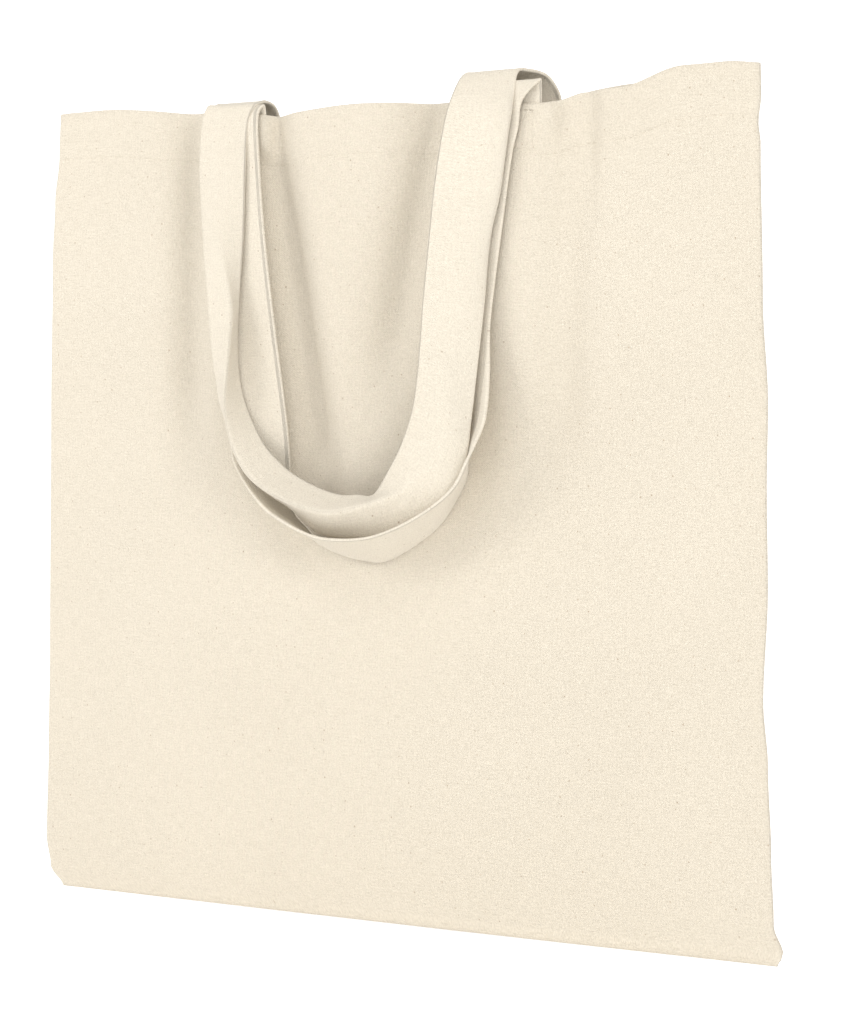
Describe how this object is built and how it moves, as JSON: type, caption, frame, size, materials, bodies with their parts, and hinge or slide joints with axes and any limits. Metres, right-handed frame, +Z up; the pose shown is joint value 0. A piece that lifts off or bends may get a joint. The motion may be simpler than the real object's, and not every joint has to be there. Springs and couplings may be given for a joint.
{
  "type": "tote bag",
  "caption": "Flat cotton canvas tote bag with a folded bottom, a stitched hem round its open mouth and flat carrying handles hanging down over its front",
  "frame": {"origin": "centre of the flat underside of the bottom fold, where the bag stands", "axes": "+X to the bag's right as seen from the front, -Y out of the front, +Z up"},
  "size_m": [0.381, 0.056, 0.4167],
  "materials": {
    "canvas_body": "unbleached cotton canvas, plain weave, small seed flecks",
    "canvas_strap": "folded strap of the same unbleached cotton canvas",
    "sewing_thread": "cream cotton sewing thread"
  },
  "bodies": {
    "bag": {"front_panel": "canvas_body", "back_panel": "canvas_body", "bottom_fold": "canvas_body", "front_hem": "canvas_body", "back_hem": "canvas_body", "left_seam_allowance": "canvas_body", "right_seam_allowance": "canvas_body", "left_seam_stitching": "sewing_thread", "right_seam_stitching": "sewing_thread", "front_hem_stitching": "sewing_thread", "back_hem_stitching": "sewing_thread", "front_handle_left_end": "canvas_strap", "front_handle_right_end": "canvas_strap", "back_handle_left_end": "canvas_strap", "back_handle_right_end": "canvas_strap", "front_handle_left_tack": "sewing_thread", "front_handle_right_tack": "sewing_thread", "back_handle_left_tack": "sewing_thread", "back_handle_right_tack": "sewing_thread"},
    "front_handle": {"front_handle": "canvas_strap"},
    "back_handle": {"back_handle": "canvas_strap"}
  },
  "joints": [
    {"name": "front_handle_swing", "type": "hinge", "parent": "bag", "child": "front_handle", "pos_m": [0, -0.0083, 0.41], "axis": [-1, 0, 0], "range_deg": [0, 180]},
    {"name": "back_handle_swing", "type": "hinge", "parent": "bag", "child": "back_handle", "pos_m": [0, 0.0083, 0.411], "axis": [-1, 0, 0], "range_deg": [0, 180]}
  ],
  "couplings": [
    {"joint": "back_handle_swing", "follows": "front_handle_swing", "ratio": 1}
  ]
}
